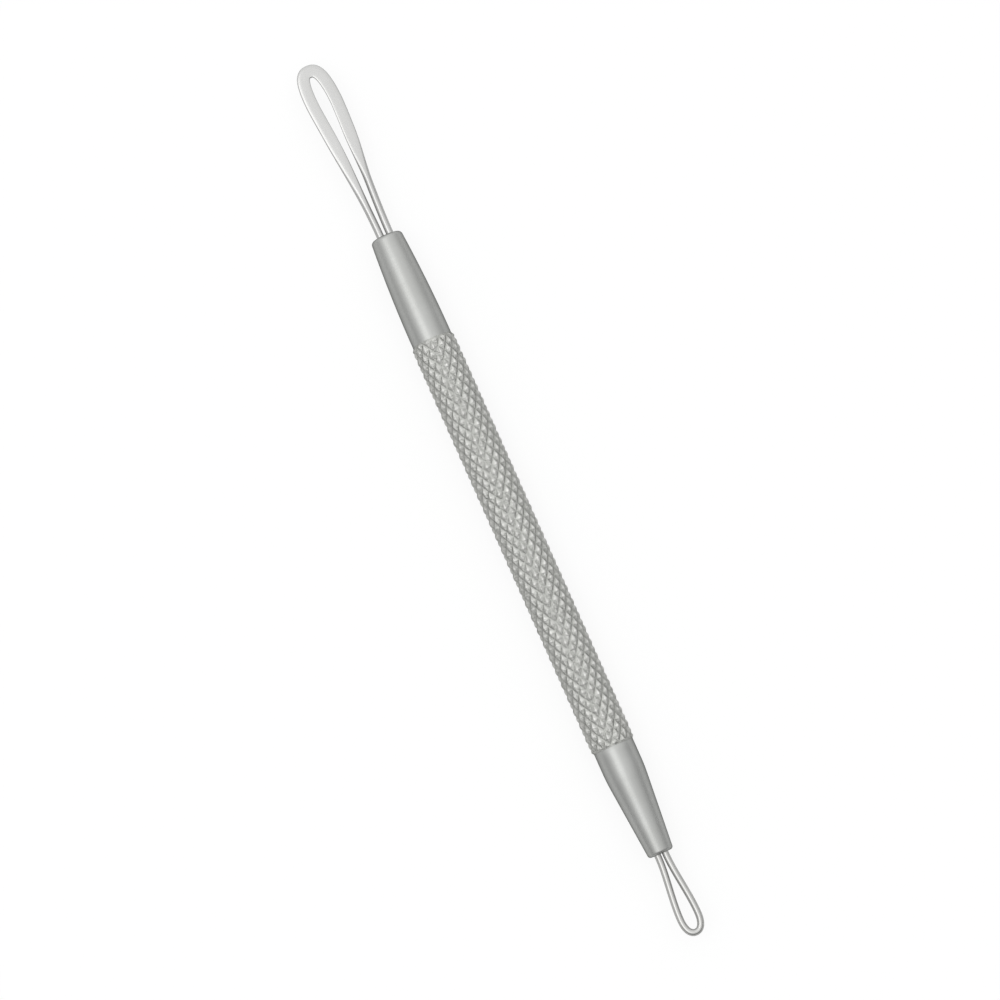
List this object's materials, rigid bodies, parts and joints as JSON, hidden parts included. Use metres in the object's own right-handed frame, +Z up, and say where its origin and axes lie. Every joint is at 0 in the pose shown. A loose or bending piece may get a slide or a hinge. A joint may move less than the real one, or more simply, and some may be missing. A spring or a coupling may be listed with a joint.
{
  "type": "blackhead extractor",
  "caption": "Slim steel skin tool: a knurled round grip with a tapered nose at each end, holding a long wire loop pressed flat and a short round wire loop.",
  "frame": {"origin": "under the middle of the tool's length, on the surface that it lies on", "axes": "+X along the tool towards the large loop, +Z up; the loops lie flat in the XY plane at the height of the grip's axis"},
  "size_m": [0.125, 0.006, 0.006],
  "materials": {
    "knurled_steel": "cross knurled, satin",
    "turned_steel": "finely turned, satin",
    "pressed_wire": "pressed flat and polished",
    "round_wire": "drawn and polished",
    "silver_solder": "dull, as cast"
  },
  "bodies": {
    "root": {"knurled_grip": "knurled_steel", "large_end_nose": "turned_steel", "small_end_nose": "turned_steel", "large_loop": "pressed_wire", "small_loop": "round_wire", "large_loop_solder": "silver_solder", "small_loop_solder": "silver_solder"}
  },
  "joints": []
}
